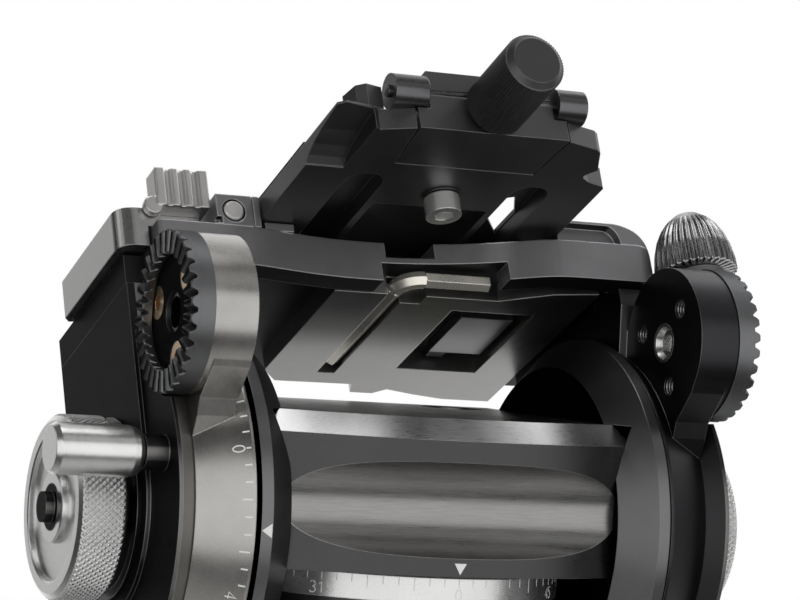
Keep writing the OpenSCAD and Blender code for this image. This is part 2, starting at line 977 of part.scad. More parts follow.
module release_lever() {
  color([0.38, 0.38, 0.39])
    tilt()
      difference() {
        union() {
          translate([0, 0, arm_low])
            linear_extrude(arm_top - arm_low)
              polygon([[-arm_out + 1.6, -lever_f + 4], [lever_x, -lever_f + 3],
                [lever_x + 1.5, -lever_f + 2.4], [-arm_in, -lever_f + 1.4], [-arm_in, -23],
                [-grip_out + 1.6, -25.5], [-grip_out + 1.6, -31.6],
                for (a = [270 : -10 : 180])
                  [-arm_out + 4.8 + 4.8 * cos(a), -26.8 + 4.8 * sin(a)],
                [-arm_out, -lever_f + 2]]);
          translate([0, 0, deck_top + 1.6])
            linear_extrude(arm_top - deck_top - 1.6)
              polygon([[-grip_out - 2, -23], [-grip_in - 1, -23], [-grip_in - 1, -grip_f + 6.1],
                [-grip_out - 2, -grip_f + 6.1]]);
          translate([lever_x, -lever_f, base_top - 6])
            cylinder(r = stud_r, h = arm_low - base_top + 7);
        }
        span([-arm_in + 0.01, -grip_in], [-40, 10], [arm_low - 1, deck_top + gap]);
        translate([0, -grip_f + 6, 0])
          rotate([90, 0, 0])
            linear_extrude(10)
              polygon([[-arm_in, deck_top - 1], [-arm_in + 5.2, deck_top + 5], [-grip_in, deck_top - 1]]);
      }
}

module lever_grip() {
  color([0.62, 0.62, 0.62])
    tilt()
      translate([-grip_out, -grip_f, arm_top]) {
        linear_extrude(11)
          difference() {
            square([grip_out - grip_in, 9.2]);
            translate([0, 9.2])
              rotate([0, 0, 45])
                square(3.4, center = true);
            for (i = [1 : 3])
              translate([i * (grip_out - grip_in) / 4, -0.3])
                circle(r = 1.1, $fn = 24);
          }
        translate([-1, 0.2, 0])
          rotate([-90, 0, 0])
            cylinder(r = 2.6, h = 2.4, $fn = 64);
      }
}

module plate_clamp_knob() {
  h = clamp_top - ear_top - gap;
  color([0.40, 0.40, 0.41])
    tilt()
      translate([clamp_x, -clamp_f, ear_top + gap]) {
        intersection() {
          linear_extrude(h)
            fluted(clamp_r, 20, 0.8);
          rotate_extrude()
            polygon([[0, 0], [clamp_r + 0.1, 0], [clamp_r + 0.1, h * 0.18], [clamp_r - 0.6, h * 0.38],
              [clamp_r - 1.8, h * 0.58], [clamp_r - 3.2, h * 0.72], [clamp_r - 5, h * 0.84],
              [clamp_r - 7.6, h * 0.95], [clamp_r - 9.6, h - 0.05], [0, h - 0.05]]);
        }
        ring(-ear_top - gap + deck_low + 0.4, 1, 3);
      }
}

module hex_key() {
  bend = 6;
  color([0.78, 0.72, 0.64])
    tilt()
      translate([key_x, -key_f, key_n]) {
        translate([0, bend, 0])
          rotate([-90, 0, 0])
            rotate([0, 0, 30])
              cylinder(r = key_r, h = key_f + 21.6 - bend, $fn = 6);
        translate([bend, 0, 0])
          rotate([0, 90, 0])
            rotate([0, 0, 0])
              cylinder(r = key_r, h = 25 - bend, $fn = 6);
        translate([bend, bend, 0])
          rotate([0, 0, 180])
            rotate_extrude(angle = 90)
              translate([bend, 0])
                circle(r = key_r, $fn = 6);
      }
}

// Side controls

module side_dial(s) {
  tilt()
    out(s)
      difference() {
        union() {
          translate([0, 0, upright_face + 3.2])
            cylinder(r1 = dial_r - 0.8, r2 = dial_r, h = 0.8);
          ring(upright_face + 4, upright_face + 2.4 + dial_w, dial_r);
          translate([0, 0, upright_face + 2.4 + dial_w])
            cylinder(r1 = dial_r, r2 = dial_r - 1.6, h = 0.8);
        }
        translate([0, 0, upright_face])
          cylinder(r = post_r + run, h = 60);
        ring(upright_face + 1.4 + dial_w, upright_face + 9 + dial_w, dial_r - 5, post_r + 3);
      }
}

module tilt_drag_dial() {
  color([0.62, 0.62, 0.61])
    side_dial(-1);
}

module balance_dial() {
  color([0.62, 0.62, 0.61])
    side_dial(1);
}

module tilt_lock_knob() {
  color([0.80, 0.80, 0.80])
    tilt()
      out(-1)
        spot(-1, lock_f, 0)
          union() {
            ring(drum_out + gap, lock_x + 1, 2.6);
            translate([0, 0, lock_x])
              rotate_extrude()
                polygon([[0, 0], [lock_r - 2.4, 0], [lock_r - 1.2, 0.5], [lock_r - 0.4, 1.6],
                  [lock_r, 3.2], [lock_r, 22], [lock_r - 0.8, 23.4], [0, 23.4]]);
          }
}

// Camera plate, sliding on the platform

module plate_outline() {
  h = plate_half;
  polygon([[-21.7, -plate_front - 0.4], [-31, -plate_front + 2], [-33.4, -plate_front + 0.4],
    [-h + 2, -plate_front - 1], [-h, -plate_front + 0.4],
    [-h, plate_back - 4], [-h + 4, plate_back], [h - 4, plate_back], [h, plate_back - 4],
    [h, -67.6], [h - 0.6, -68.6], [37, -70.4], [34.4, -72.4], [34, -73.6], [35, -75.4], [36.4, -77],
    [33.6, -83.6], [32.5, -86.2], [31, -plate_front + 2.4],
    [21.7, -plate_front - 0.4],
    [fork_half + 1.1, -plate_front - 0.4], [fork_half - 0.6, -fork_f], [-fork_half + 0.6, -fork_f],
    [-fork_half - 1.1, -plate_front - 0.4]]);
}

// Finger scoop below the plate's left front corner
module corner_scoop() {
  points = [[67, -1], [67, 0.4], [69, 1.8], [73, 3], [79, 4.2], [86, plate_t - 0.9],
    [100, plate_t + 0.2], [100, -1]];
  translate([-plate_half - 2, 0, plate_low])
    rotate([90, 0, 90])
      linear_extrude(plate_half - 30.4)
        polygon([for (p = points) [-p[0], p[1]]]);
}

module camera_plate() {
  color([0.15, 0.15, 0.16])
    tilt()
      difference() {
        union() {
          translate([0, 0, plate_low])
            linear_extrude(plate_t)
              plate_outline();
          translate([0, 0, plate_top - 0.1])
            linear_extrude(6.4)
              polygon([[-37.4, -82], [-35.4, -79], [-29.4, -79], [-29.4, -88.4], [-34, -89.6],
                [-36.4, -88]]);
        }
        corner_scoop();
        for (s = [-1, 1]) {
          span([s * 24 - 5.4, s * 24 + 5.4], [-60, 10], [plate_low - 1, plate_top - 1.2]);
          translate([s * 24, -60, plate_low - 1])
            cylinder(r = 5.4, h = plate_t - 0.2);
        }
        translate([0, 0, plate_low - 1])
          linear_extrude(plate_t + 2)
            polygon([[21.4, -49.3], [25.2, -51.1], [29.2, -42.3], [29.2, -29.6], [21.4, -40.3]]);
        span([-16.6, 16.6], [-50, plate_back - 12], [plate_low - 1, plate_low + 3.6]);
        translate([0, -screw_f, plate_low - 1])
          cylinder(r = camera_r + run, h = plate_t + 2);
      }
}

module grip_pads() {
  color([0.06, 0.06, 0.06])
    tilt()
      for (s = [-1, 1])
        translate([s * (plate_half - 6.4), -13, plate_top + 0.7])
          cube([11.6, 106, 1.4], center = true);
}

module hinge_barrels() {
  color([0.46, 0.46, 0.47])
    tilt()
      for (s = [-1, 1])
        translate([0, -pin_f, pin_n])
          out(s)
            ring(18.4, s > 0 ? 26.6 : 27.8, barrel_r, pin_r + seat);
}

module hinge_pin() {
  color([0.74, 0.74, 0.74])
    tilt()
      translate([-28.6, -pin_f, pin_n])
        rotate([0, 90, 0])
          cylinder(r = pin_r, h = 56, $fn = 48);
}

module camera_screw() {
  color([0.76, 0.76, 0.75])
    tilt()
      translate([0, -screw_f, plate_low]) {
        ring(plate_t, plate_t + 5.5, camera_r);
        difference() {
          ring(-6, -0.8, 4.76);
          translate([0, 0, -6.6])
            cylinder(r = 2.75, h = 4, $fn = 6);
        }
        ring(-1, plate_t, camera_r - 0.3);
      }
}

module screw_collar() {
  color([0.08, 0.08, 0.08])
    tilt()
      translate([0, -screw_f, plate_low])
        ring(-0.5, 0, 5.3, camera_r + run);
}

module folding_stop() {
  foot = plate_low;
  color([0.17, 0.17, 0.18])
    tilt()
      difference() {
        union() {
          translate([0, 0, foot])
            linear_extrude(plate_t)
              polygon([[-stop_half - 0.9, -plate_front - 1], [stop_half + 0.9, -plate_front - 1],
                [stop_half - 0.6, -fork_f - gap], [-stop_half + 0.6, -fork_f - gap]]);
          span([-17.6, 17.6], [-plate_front - 1, -pin_f + 5], [foot + plate_t - 0.1, foot + 16.6]);
        }
        translate([-30, -pin_f, pin_n])
          rotate([0, 90, 0])
            cylinder(r = pin_r + run, h = 60);
        translate([0, -plate_front - 3, knob_n])
          rotate([-90, 0, 0])
            cylinder(r = stem_r + run, h = 16);
      }
}

module stop_knob() {
  color([0.09, 0.09, 0.09])
    tilt()
      translate([0, -knob_f, knob_n])
        rotate([90, 0, 0])
          union() {
            linear_extrude(knob_l - 1.4)
              fluted(knob_r, 64, 0.22);
            translate([0, 0, knob_l - 1.4])
              cylinder(r1 = knob_r - 0.4, r2 = knob_r - 1.8, h = 1.4);
            translate([0, 0, -11])
              cylinder(r = stem_r, h = 12);
          }
}

base_plate();
base_housing();
tripod_insert();
base_screws();
pan_spindle();
spindle_nut();
pan_thrust_washer();
pan_drag_stator();
pan_scale_ring();
pan_drag_ring();
body_housing();
pan_hub();
pan_bush();
pan_drag_rotor();
left_side_disc();
right_side_disc();
tilt_shaft();
rear_cover();
rear_cover_screws();
level_cup();
level_vial();
pan_lock_knob();
left_tilt_arm();
right_tilt_arm();
tilt_bushes();
tilt_drag_rotor();
balance_spring();
left_side_cover();
right_side_cover();
dial_rims();
left_rosette();
right_rosette();
rosette_screws();
rosette_inserts();
platform_deck();
key_panel();
guide_plate();
deck_screws();
left_jaw_block();
right_rail();
clamp_jaw();
release_button();
lever_base();
right_end_cap();
release_lever();
lever_grip();
plate_clamp_knob();
hex_key();
tilt_drag_dial();
balance_dial();
tilt_lock_knob();
camera_plate();
grip_pads();
hinge_barrels();
hinge_pin();
camera_screw();
screw_collar();
folding_stop();
stop_knob();
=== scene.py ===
"""Looks of the fluid video head: finishes, scale marks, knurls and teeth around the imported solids."""
import json
import math

import bpy
from mathutils import Matrix, Vector


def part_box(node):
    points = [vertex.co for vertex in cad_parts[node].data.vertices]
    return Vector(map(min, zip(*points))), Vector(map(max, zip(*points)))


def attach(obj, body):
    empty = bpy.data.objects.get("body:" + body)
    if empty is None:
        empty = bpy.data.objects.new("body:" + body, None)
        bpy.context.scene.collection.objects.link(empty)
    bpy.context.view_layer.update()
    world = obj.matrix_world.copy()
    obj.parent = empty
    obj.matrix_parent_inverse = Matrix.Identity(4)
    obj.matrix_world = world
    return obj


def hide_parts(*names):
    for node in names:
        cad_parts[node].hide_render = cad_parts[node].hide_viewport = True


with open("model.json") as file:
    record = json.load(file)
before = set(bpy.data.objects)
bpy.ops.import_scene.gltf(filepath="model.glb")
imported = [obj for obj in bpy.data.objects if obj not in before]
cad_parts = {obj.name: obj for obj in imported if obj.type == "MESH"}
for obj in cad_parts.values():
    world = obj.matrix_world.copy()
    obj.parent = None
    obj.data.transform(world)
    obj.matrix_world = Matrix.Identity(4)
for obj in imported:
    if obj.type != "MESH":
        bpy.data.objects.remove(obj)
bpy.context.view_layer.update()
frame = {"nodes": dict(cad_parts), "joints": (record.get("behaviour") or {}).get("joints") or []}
nodes = frame["nodes"]
joints = {j["name"]: j for j in frame["joints"]}

# Frame of the part: metres, lengths written in millimetres
MM = 0.001
ACROSS = Vector((1, 0, 0))
LEFT = -ACROSS
FORWARD = Vector((0, -1, 0))
UP = Vector((0, 0, 1))
TILT_AXIS = Vector(joints["tilt_turn"]["pos_m"])
FRONT = Vector(joints["plate_slide"]["axis"]).normalized()
NORMAL = Vector(joints["lever_turn"]["axis"]).normalized()
BELOW = -NORMAL

# Lugs: centre ahead of and above the tilt axis, radius, inner face and radius of the screw circle
LUG_F, LUG_N, LUG_R = 52.5, 31.8, 20.2
LUG_FACE = 62.5
LUG_SCREWS = 12.1

# Foot of the webs above the tilt axis
WEB_FOOT = 36

# Left drum: degrees from the platform's front to the scale's zero, place and radius of the edge
# that the marks start from, and slope of the taper
DRUM_ZERO = 3.5
DRUM_EDGE = 59.6
DRUM_R = 50.3
DRUM_FALL = 6.2 / 13

# How far a mesh's facets may stand off its true curve
FACET = 0.06


def on_platform(x, f, n):
    """Point across x, ahead f and above n of the tilt axis, in the platform's own directions."""
    return TILT_AXIS + (ACROSS * x + FRONT * f + NORMAL * n) * MM


# Shader building

class Shader:
    """One material with its principled shader, and short names for adding nodes to it."""

    def __init__(self, name):
        self.material = bpy.data.materials.new(name)
        self.material.use_nodes = True
        self.tree = self.material.node_tree
        self.bsdf = self.tree.nodes["Principled BSDF"]
        coords = self.tree.nodes.new("ShaderNodeTexCoord")
        self.place = coords.outputs["Object"]
        self.normal = coords.outputs["Normal"]

    def add(self, kind, inputs=None, **settings):
        node = self.tree.nodes.new("ShaderNode" + kind)
        for key, value in settings.items():
            setattr(node, key, value)
        for key, value in (inputs or {}).items():
            self.put(node.inputs[key], value)
        return node

    def put(self, socket, value):
        if isinstance(value, bpy.types.NodeSocket):
            self.tree.links.new(value, socket)
        else:
            socket.default_value = value

    def math(self, operation, a, b=0.0, clamp=False):
        node = self.add("Math", operation=operation, use_clamp=clamp)
        self.put(node.inputs[0], a)
        self.put(node.inputs[1], b)
        return node.outputs[0]

    def dot(self, a, b):
        node = self.add("VectorMath", operation="DOT_PRODUCT")
        self.put(node.inputs[0], a)
        self.put(node.inputs[1], b)
        return node.outputs["Value"]

    def noise(self, size, detail=2.0, stretch=(1, 1, 1)):
        """Noise with blotches of about this size in millimetres."""
        mapping = self.add("Mapping", {"Vector": self.place, "Scale": stretch})
        node = self.add("TexNoise", {"Vector": mapping.outputs[0], "Scale": 1 / (size * MM),
                                     "Detail": detail, "Roughness": 0.6})
        return node.outputs["Fac"]

    def spread(self, value, low, high):
        """A 0 to 1 pattern spread between two values."""
        node = self.add("MapRange", {"Value": value, "From Min": 0.25, "From Max": 0.75,
                                     "To Min": low, "To Max": high})
        return node.outputs[0]

    def mix(self, factor, a, b):
        node = self.add("Mix", data_type="RGBA")
        self.put(node.inputs[0], factor)
        self.put(node.inputs[6], a)
        self.put(node.inputs[7], b)
        return node.outputs[2]

    def edges(self, radius):
        """Rounded edge normals, and a mask that is 1 where the surface turns over an edge."""
        bevel = self.add("Bevel", {"Radius": radius * MM}, samples=6)
        flat = self.add("NewGeometry").outputs["Normal"]
        turn = self.math("SUBTRACT", 1.0, self.dot(bevel.outputs[0], flat))
        return bevel.outputs[0], self.math("MULTIPLY", turn, 5.0, clamp=True)

    def bump(self, height, distance, normal):
        node = self.add("Bump", {"Strength": 1.0, "Distance": distance * MM, "Height": height,
                                 "Normal": normal})
        return node.outputs[0]


def shade(color, factor):
    return tuple(min(c * factor, 1.0) for c in color) + (1.0,)


# Areas of a look, mostly where highlight or shade is painted: each gives a function that adds a 0 to 1
# mask to a shader

def facing(direction):
    """Faces that look in a direction."""
    def mask(s):
        value = s.dot(s.normal, direction.normalized())
        return s.add("MapRange", {"Value": value, "From Min": 0.9, "From Max": 0.95}).outputs[0]
    return mask


def groove(y, z, radius):
    """Within a radius of a line along X, in millimetres."""
    def mask(s):
        split = s.add("SeparateXYZ", {"Vector": s.place})
        off_y = s.math("SUBTRACT", split.outputs["Y"], y * MM)
        off_z = s.math("SUBTRACT", split.outputs["Z"], z * MM)
        square = s.math("ADD", s.math("MULTIPLY", off_y, off_y), s.math("MULTIPLY", off_z, off_z))
        return s.math("LESS_THAN", square, ((radius + FACET) * MM) ** 2)
    return mask


def on_side(direction, distance=0.0):
    """What lies in a direction, further than a distance in millimetres from the middle."""
    return lambda s: s.math("GREATER_THAN", s.dot(s.place, direction), distance * MM)


def web(toward=None):
    """The web of a tilt arm, above the drum and outside the lug, or only its faces towards a direction."""
    center = on_platform(0, LUG_F, LUG_N)

    def mask(s):
        height = TILT_AXIS.dot(NORMAL) + WEB_FOOT * MM
        above = s.math("GREATER_THAN", s.dot(s.place, NORMAL), height)
        lug = groove(center.y / MM, center.z / MM, LUG_R)(s)
        area = s.math("MULTIPLY", above, s.math("SUBTRACT", 1.0, lug))
        return area if toward is None else s.math("MULTIPLY", area, facing(toward)(s))
    return mask


# Pitch and depth of the lines that a turning tool leaves
TOOL_PITCH = 0.8
TOOL_DEPTH = 0.004


def metal(name, color, roughness, metallic=1.0, grain=0.3, grain_depth=0.004, edge=1.5, edge_r=0.35,
          turned=None, brushed=(1, 1, 1), areas=(), grazing=1.0, mottle=0.5):
    """Anodised or plated metal with a fine grain, uneven sheen and edges painted lighter, partly as wear
    and partly as painted highlight.

    turned is the direction of a turning axis, which gives fine tool lines around it.
    brushed is the stretch of the grain along X, Y and Z.
    areas are pairs of a mask and the colour painted there, in several looks a painted highlight or painted
    shade.
    grazing is the strength of the sheen at flat angles, and mottle that of the grain's lighter spots."""
    s = Shader(name)
    patches = s.noise(14, 3.0)
    fine = s.noise(grain, 2.0, brushed)
    normal, edge_mask = s.edges(edge_r)
    tone = s.mix(s.spread(patches, 0, 1), shade(color, 0.88), shade(color, 1.12))
    tone = s.mix(s.spread(fine, 0, mottle), tone, shade(color, 1.25))
    # Edges lightened by the edge factor: partly wear, partly painted highlight where edges catch the
    # light.
    edge_wear_and_highlight = s.math("MULTIPLY", edge_mask, s.spread(patches, 0.55, 1.0))
    tone = s.mix(edge_wear_and_highlight, tone, shade(color, edge))
    for area, inside in areas:
        brushing = s.mix(s.spread(fine, 0, 1), shade(inside, 0.85), shade(inside, 1.15))
        tone = s.mix(area(s), tone, s.mix(edge_wear_and_highlight, brushing, shade(inside, min(edge, 2.2))))
    s.put(s.bsdf.inputs["Base Color"], tone)
    s.bsdf.inputs["Metallic"].default_value = metallic
    s.bsdf.inputs["Specular Tint"].default_value = shade((1, 1, 1), grazing)
    sheen = s.spread(fine, roughness - 0.04, roughness + 0.04)
    rough = s.math("ADD", sheen, s.spread(patches, -0.03, 0.03))
    s.put(s.bsdf.inputs["Roughness"], rough)
    height = s.bump(fine, grain_depth, normal)
    if turned is not None:
        along = s.math("MULTIPLY", s.dot(s.place, turned), 1 / (TOOL_PITCH * MM))
        lines = s.add("TexNoise", {"W": along, "Scale": 1.0, "Detail": 2.0}, noise_dimensions="1D")
        height = s.bump(lines.outputs["Fac"], TOOL_DEPTH, height)
    s.put(s.bsdf.inputs["Normal"], height)
    return s.material


def plastic(name, color, roughness):
    """Moulded rubber or plastic with a fine grain."""
    s = Shader(name)
    patches = s.noise(9, 3.0)
    fine = s.noise(0.4, 2.0)
    normal, edge_mask = s.edges(0.3)
    tone = s.mix(s.spread(patches, 0, 1), shade(color, 0.85), shade(color, 1.2))
    # Edges painted lighter as painted highlight.
    s.put(s.bsdf.inputs["Base Color"], s.mix(edge_mask, tone, shade(color, 1.6)))
    s.put(s.bsdf.inputs["Roughness"], s.spread(fine, roughness - 0.06, roughness + 0.06))
    s.put(s.bsdf.inputs["Normal"], s.bump(fine, 0.01, normal))
    return s.material


def paint(name, color):
    """Filled paint of the engraved marks."""
    s = Shader(name)
    wear = s.noise(0.5, 3.0)
    s.put(s.bsdf.inputs["Base Color"], s.mix(s.spread(wear, 0, 1), shade(color, 0.9), shade(color, 1.0)))
    s.put(s.bsdf.inputs["Roughness"], s.spread(wear, 0.5, 0.65))
    return s.material


# Scoop of the body, painted lighter as painted reflection: its axis ahead of the body's front and above
# its foot, and its radius
body_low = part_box("body_housing")[0]
SCOOP_AHEAD, SCOOP_UP, SCOOP_R = 1.8, 16.9, 12.3
SCOOP = (body_low.y / MM - SCOOP_AHEAD, body_low.z / MM + SCOOP_UP, SCOOP_R)

# Outer end of the cone that joins the left cover to the drum
CONE_WIDTH = 4.45
COVER_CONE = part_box("left_side_cover")[1].x / MM - CONE_WIDTH

# Covers: edges strongly lightened and front faces painted lighter, both painted highlight.
COVER = {"color": (0.04, 0.04, 0.042), "roughness": 0.42, "edge": 6.0, "edge_r": 0.45, "grazing": 0.5}
COVER_FRONT_HIGHLIGHT = (facing(FORWARD), (0.2, 0.197, 0.19))
looks = {
    # Body: faces turned up and forward painted lighter as painted highlight, the scoop painted lighter as
    # painted reflection, edges lightened as painted highlight.
    "body": metal("body_black", (0.07, 0.07, 0.071), 0.3, brushed=(0.04, 1, 1), edge=5.0,
                  areas=[(facing(FORWARD + UP), (0.5, 0.5, 0.5)),
                         (groove(*SCOOP), (0.31, 0.305, 0.3))]),
    # Discs: faces turned left painted near black as painted shade.
    "disc": metal("disc_black", (0.17, 0.17, 0.174), 0.34, turned=ACROSS, grazing=0.3,
                  areas=[(facing(LEFT), (0.015, 0.015, 0.016))]),
    "base": metal("base_black", (0.07, 0.07, 0.072), 0.4, turned=UP),
    "ring": metal("scale_ring", (0.72, 0.72, 0.71), 0.3, turned=UP),
    "arm": metal("arm_gunmetal", (0.44, 0.427, 0.408), 0.27, turned=ACROSS, grain=0.1, grain_depth=0.0003,
                 mottle=0.1, areas=[(web(), (0.05, 0.05, 0.052))]),
    # Right arm: front faces of its web painted lighter as painted reflection, and its edges strongly
    # lightened as painted highlight.
    "dark_arm": metal("arm_black", (0.04, 0.04, 0.043), 0.36, edge=7.0, turned=ACROSS,
                      areas=[(web(FORWARD), (0.22, 0.218, 0.21))]),
    "cover": metal("cover_black", areas=[COVER_FRONT_HIGHLIGHT], **COVER),
    "left_cover": metal("left_cover_black", **COVER,
                        areas=[COVER_FRONT_HIGHLIGHT, (on_side(ACROSS, COVER_CONE), (0.36, 0.35, 0.335))]),
    # Deck: faces turned down painted near black as painted shade, and its edges lightened as painted
    # highlight.
    "deck": metal("blasted_dark", (0.25, 0.248, 0.255), 0.52, grain=0.35, grain_depth=0.02, edge=3.6,
                  edge_r=0.55, areas=[(facing(BELOW), (0.035, 0.035, 0.037))]),
    "panel": metal("panel_dark", (0.34, 0.337, 0.33), 0.32, edge=2.0),
    # Plate: flank turned down and left painted lighter as painted highlight.
    "plate": metal("plate_black", (0.13, 0.127, 0.13), 0.44, edge=2.6,
                   areas=[(facing(BELOW * 0.8 + LEFT * 0.6), (0.3, 0.297, 0.295))]),
    "lever": metal("lever_grey", (0.46, 0.455, 0.45), 0.28, edge=1.4, grain=0.1, grain_depth=0.0003),
    "grip": metal("grip_grey", (0.62, 0.612, 0.6), 0.36, grain_depth=0.006),
    "clamp": metal("clamp_grey", (0.36, 0.36, 0.365), 0.24),
    "screw": metal("screw_silver", (0.92, 0.91, 0.88), 0.24, metallic=0.85),
    # Dial rims: edges painted far lighter as painted highlight.
    "rim": metal("rim_black", (0.03, 0.03, 0.031), 0.34, edge=14.0, edge_r=0.3),
    "silver": metal("satin_silver", (0.76, 0.76, 0.75), 0.28, turned=ACROSS, grain=0.1, grain_depth=0.0003,
                    mottle=0.1),
    "button": metal("blasted_silver", (0.66, 0.65, 0.63), 0.42, grain=0.3, grain_depth=0.03),
    "nickel": metal("nickel", (0.86, 0.81, 0.72), 0.3, metallic=0.8),
    "steel": metal("plain_steel", (0.58, 0.58, 0.57), 0.28),
    # Left insert painted near black as painted shade in its recess.
    "insert": metal("insert_steel", (0.58, 0.58, 0.57), 0.28,
                    areas=[(on_side(LEFT), (0.04, 0.04, 0.042))]),
    "brass": metal("bronze", (0.62, 0.45, 0.29), 0.3),
    "gunmetal": metal("gunmetal", (0.26, 0.26, 0.265), 0.34),
    "barrel": metal("barrel_dark", (0.13, 0.13, 0.135), 0.3, turned=ACROSS),
    "knob": metal("knob_black", (0.1, 0.098, 0.1), 0.42, edge=2.5),
    # Rosettes: faces turned along the axis painted darker than the rest as painted shade.
    "teeth": metal("rosette_black", (0.17, 0.172, 0.176), 0.4, edge=2.0, edge_r=0.2, grazing=0.3,
                   areas=[(facing(LEFT), (0.05, 0.05, 0.052)), (facing(ACROSS), (0.05, 0.05, 0.052))]),
    "rubber": plastic("rubber_black", (0.02, 0.02, 0.021), 0.75),
    "vial": plastic("vial_green", (0.2, 0.26, 0.06), 0.15),
    "mark": paint("mark_white", (0.78, 0.78, 0.76)),
}
node_looks = {
    "body": ["body_housing", "rear_cover"],
    "disc": ["left_side_disc", "right_side_disc"],
    "base": ["base_plate", "base_housing"],
    "ring": ["pan_scale_ring"],
    "arm": ["left_tilt_arm"],
    "dark_arm": ["right_tilt_arm"],
    "left_cover": ["left_side_cover"],
    "cover": ["right_side_cover", "right_end_cap", "lever_base"],
    "deck": ["platform_deck", "left_jaw_block", "right_rail"],
    "panel": ["key_panel"],
    "plate": ["camera_plate", "folding_stop"],
    "lever": ["release_lever"],
    "grip": ["lever_grip"],
    "clamp": ["plate_clamp_knob"],
    "silver": ["tilt_drag_dial", "balance_dial", "tilt_lock_knob"],
    "screw": ["camera_screw"],
    "rim": ["dial_rims"],
    "button": ["release_button"],
    "nickel": ["hex_key"],
    "steel": ["tripod_insert", "base_screws", "pan_spindle", "spindle_nut", "tilt_shaft",
              "rear_cover_screws", "balance_spring", "deck_screws"],
    "insert": ["rosette_inserts"],
    "brass": ["pan_thrust_washer", "pan_bush", "tilt_bushes", "rosette_screws"],
    "gunmetal": ["pan_drag_stator", "pan_hub", "pan_drag_rotor", "tilt_drag_rotor", "level_cup",
                 "guide_plate", "clamp_jaw"],
    "barrel": ["hinge_barrels", "hinge_pin"],
    "knob": ["pan_drag_ring", "pan_lock_knob", "stop_knob", "screw_collar"],
    "teeth": ["left_rosette", "right_rosette"],
    "rubber": ["grip_pads"],
    "vial": ["level_vial"],
}
for look, names in node_looks.items():
    for name in names:
        slots = nodes[name].data.materials
        slots.clear()
        slots.append(looks[look])


# Pieces made here

def piece(name, points, faces, look, body, smooth=True):
    """New mesh piece with a finish, moving with a body."""
    mesh = bpy.data.meshes.new(name)
    mesh.from_pydata([tuple(p) for p in points], [], faces)
    mesh.polygons.foreach_set("use_smooth", [smooth] * len(mesh.polygons))
    mesh.update()
    mesh.materials.append(looks[look])
    obj = bpy.data.objects.new(name, mesh)
    bpy.context.scene.collection.objects.link(obj)
    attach(obj, body)
    return obj


def arc(x, y, rx, ry, start, end, steps=10):
    """Points of an elliptic arc between two angles in degrees."""
    angles = [math.radians(start + (end - start) * i / steps) for i in range(steps + 1)]
    return [(x + rx * math.cos(a), y + ry * math.sin(a)) for a in angles]


# Strokes of plain figures in a box one unit high
FIGURES = {
    "0": [arc(0.3, 0.5, 0.28, 0.5, 0, 360, 20)],
    "1": [[(0.12, 0.78), (0.34, 1.0), (0.34, 0.0)]],
    "2": [arc(0.3, 0.72, 0.27, 0.28, 165, -35) + [(0.02, 0.0), (0.6, 0.0)]],
    "3": [arc(0.28, 0.76, 0.26, 0.24, 150, -90) + arc(0.28, 0.26, 0.3, 0.26, 90, -150)],
    "4": [[(0.44, 0.0), (0.44, 1.0), (0.0, 0.3), (0.6, 0.3)]],
    "5": [[(0.54, 1.0), (0.1, 1.0), (0.06, 0.55)] + arc(0.28, 0.32, 0.3, 0.32, 125, -150)],
    "6": [arc(0.32, 0.5, 0.3, 0.5, 60, 180) + arc(0.32, 0.3, 0.3, 0.3, 180, 540, 18)],
    "7": [[(0.02, 1.0), (0.58, 1.0), (0.22, 0.0)]],
    "8": [arc(0.3, 0.76, 0.24, 0.24, 0, 360, 16), arc(0.3, 0.27, 0.29, 0.27, 0, 360, 16)],
    "9": [arc(0.3, 0.7, 0.28, 0.3, 0, 360, 18) + arc(0.28, 0.5, 0.3, 0.5, 20, -120)],
}
FIGURE_STEP = 0.82


class Marks:
    """Thin filled strokes on a surface; place(u, v, h) is the point u along, v up and h above it."""

    TOP = 0.02
    BOTTOM = -0.06

    def __init__(self, place):
        self.place = place
        self.points = []
        self.faces = []

    def stroke(self, line, width):
        count = len(line)
        start = len(self.points)
        for i, (u, v) in enumerate(line):
            before = Vector(line[max(i - 1, 0)])
            after = Vector(line[min(i + 1, count - 1)])
            if i in (0, count - 1) and (Vector(line[0]) - Vector(line[-1])).length < 1e-6:
                before, after = Vector(line[-2]), Vector(line[1])
            along = (after - before).normalized()
            off = Vector((-along.y, along.x)) * width / 2
            for side, h in ((1, self.TOP), (-1, self.TOP), (-1, self.BOTTOM), (1, self.BOTTOM)):
                self.points.append(self.place(u + side * off.x, v + side * off.y, h))
        for i in range(count - 1):
            a = start + 4 * i
            for k in range(4):
                j = (k + 1) % 4
                self.faces.append((a + k, a + j, a + 4 + j, a + 4 + k))
        last = start + 4 * (count - 1)
        self.faces.append((start + 3, start + 2, start + 1, start))
        self.faces.append((last, last + 1, last + 2, last + 3))

    def number(self, text, u, v, height, width):
        """Figures centred at u with their foot at v."""
        total = FIGURE_STEP * (len(text) - 1) + 0.6
        for i, figure in enumerate(text):
            left = u + (i * FIGURE_STEP - total / 2) * height
            for line in FIGURES[figure]:
                self.stroke([(left + x * height, v + y * height) for x, y in line], width)

    def wedge(self, tip, left, right):
        """Filled triangle, in strips that follow the surface from its left corner to its right."""
        steps = 8
        start = len(self.points)
        base = [Vector(left).lerp(Vector(right), i / steps) for i in range(steps + 1)]
        count = steps + 2
        for h in (self.TOP, self.BOTTOM):
            self.points += [self.place(u, v, h) for u, v in [tip] + base]
        top = [start + i for i in range(count)]
        low = [start + count + i for i in range(count)]
        self.faces += [(top[0], top[i], top[i + 1]) for i in range(1, count - 1)]
        self.faces += [(low[0], low[i + 1], low[i]) for i in range(1, count - 1)]
        for i in range(count):
            j = (i + 1) % count
            self.faces.append((top[i], low[i], low[j], top[j]))

    def finish(self, name, body):
        return piece(name, self.points, self.faces, "mark", body, smooth=False)


